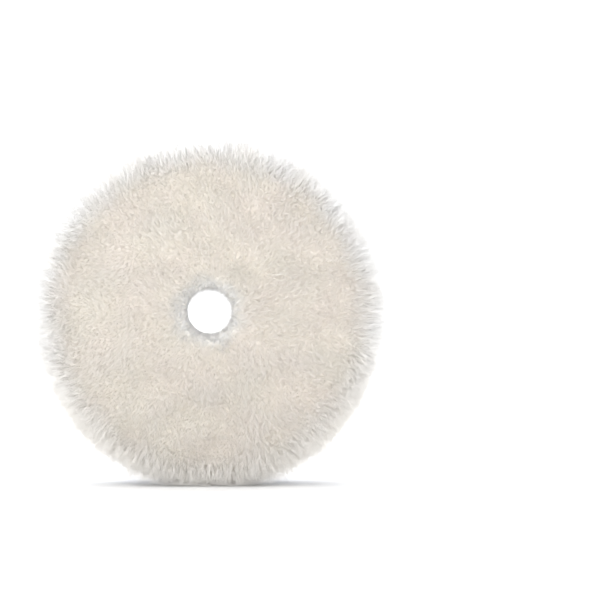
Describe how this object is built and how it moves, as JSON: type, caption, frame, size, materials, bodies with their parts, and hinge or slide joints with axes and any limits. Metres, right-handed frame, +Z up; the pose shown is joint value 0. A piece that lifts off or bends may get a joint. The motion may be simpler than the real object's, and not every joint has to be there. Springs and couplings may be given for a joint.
{
  "type": "polishing pad",
  "caption": "Round wool polishing pad with a centre hole, a foam interface and a hook-and-loop back, standing on its edge.",
  "frame": {"origin": "on the floor, under the middle of the pad as it stands on its wool edge", "axes": "+Y along the pad's axis from the wool face towards the loop face, +Z up from the floor to the pad's centre, +X across"},
  "size_m": [0.163, 0.0252, 0.1615],
  "materials": {
    "wool": "matte",
    "backing_knit": "matte",
    "adhesive": "satin",
    "foam": "matte",
    "loop": "matte"
  },
  "bodies": {
    "root": {"wool_pile": "wool", "wool_backing": "backing_knit", "front_adhesive": "adhesive", "foam_interface": "foam", "rear_adhesive": "adhesive", "loop_backing": "loop"}
  },
  "joints": []
}
